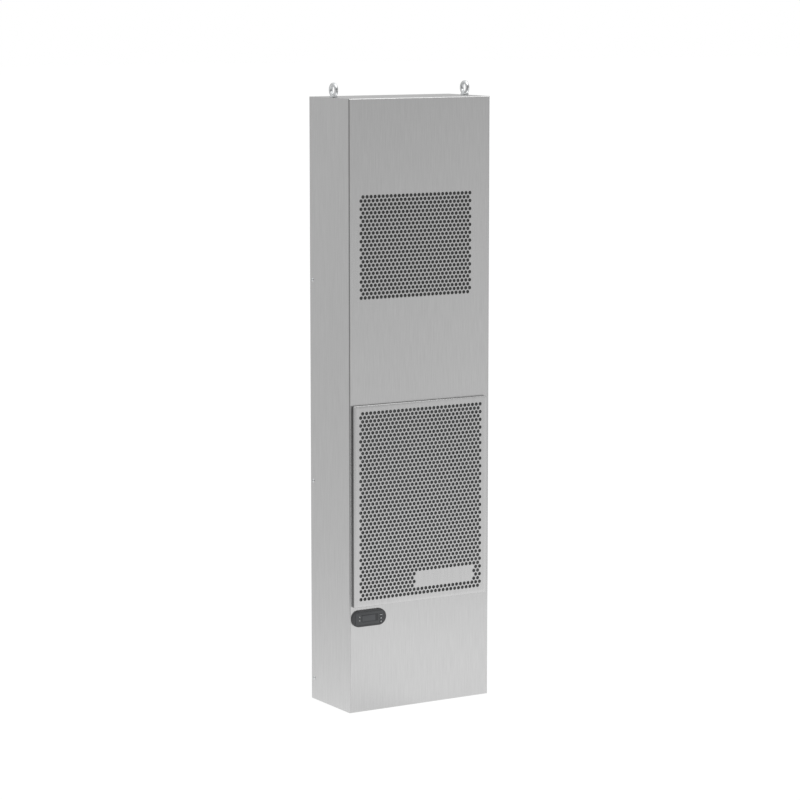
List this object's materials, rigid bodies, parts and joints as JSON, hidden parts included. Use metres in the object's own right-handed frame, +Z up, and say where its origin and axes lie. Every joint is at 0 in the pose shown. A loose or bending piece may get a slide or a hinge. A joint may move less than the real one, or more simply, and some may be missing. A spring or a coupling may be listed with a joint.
{
  "type": "enclosure air conditioner",
  "caption": "Slim wall-mounted air conditioner for an electrical enclosure, brushed stainless cover, two round-hole grilles, digital controller, lifting eyes.",
  "frame": {"origin": "at the base, midway across the width and midway between the lower grille panel's face and the rear seal", "axes": "+Z up, +X to the right seen from the front, front faces -Y"},
  "size_m": [0.4044, 0.203, 1.536],
  "materials": {
    "stainless": "brushed, grain up and down",
    "zinc": "bright zinc plate",
    "galvanised": "galvanised sheet",
    "black_paint": "matt black powder paint",
    "coil_fins": "thin fins",
    "fan_plastic": "moulded",
    "motor_paint": "satin black",
    "tray_plastic": "moulded",
    "terminal_plastic": "moulded",
    "filter_foam": "open foam",
    "seal_foam": "closed foam",
    "bezel_plastic": "fine grain",
    "face_plastic": "smooth",
    "display_window": "smoked window",
    "light_lens": "clear lens, unlit",
    "key_plastic": "moulded"
  },
  "bodies": {
    "root": {"cover_front": "stainless", "cover_left_side": "stainless", "cover_right_side": "stainless", "cover_top": "stainless", "cover_base": "stainless", "upper_grille": "stainless", "lower_grille": "stainless", "eyebolts": "zinc", "side_screws_left": "zinc", "side_screws_right": "zinc", "wall_inserts": "zinc", "back_plate": "galvanised", "terminal_panel": "galvanised", "outlet_panel": "galvanised", "intake_panel": "galvanised", "chassis_sides": "galvanised", "chassis_ends": "galvanised", "intake_ring": "galvanised", "partition": "galvanised", "lifting_brackets": "galvanised", "condenser_frame": "galvanised", "evaporator_fan_bracket": "galvanised", "filter_frame": "galvanised", "condenser_fan_plate": "black_paint", "condenser_fan_bracket": "black_paint", "condenser_coil": "coil_fins", "evaporator_coil": "coil_fins", "condenser_fan_rotor": "fan_plastic", "evaporator_fan_wheel": "fan_plastic", "condenser_fan_motor": "motor_paint", "evaporator_fan_motor": "motor_paint", "drain_tray": "tray_plastic", "terminal_block": "terminal_plastic", "filter_mat": "filter_foam", "rear_seal": "seal_foam", "controller_bezel": "bezel_plastic", "controller_case": "bezel_plastic", "controller_face": "face_plastic", "controller_display": "display_window", "controller_lights": "light_lens", "controller_keys": "key_plastic"}
  },
  "joints": []
}
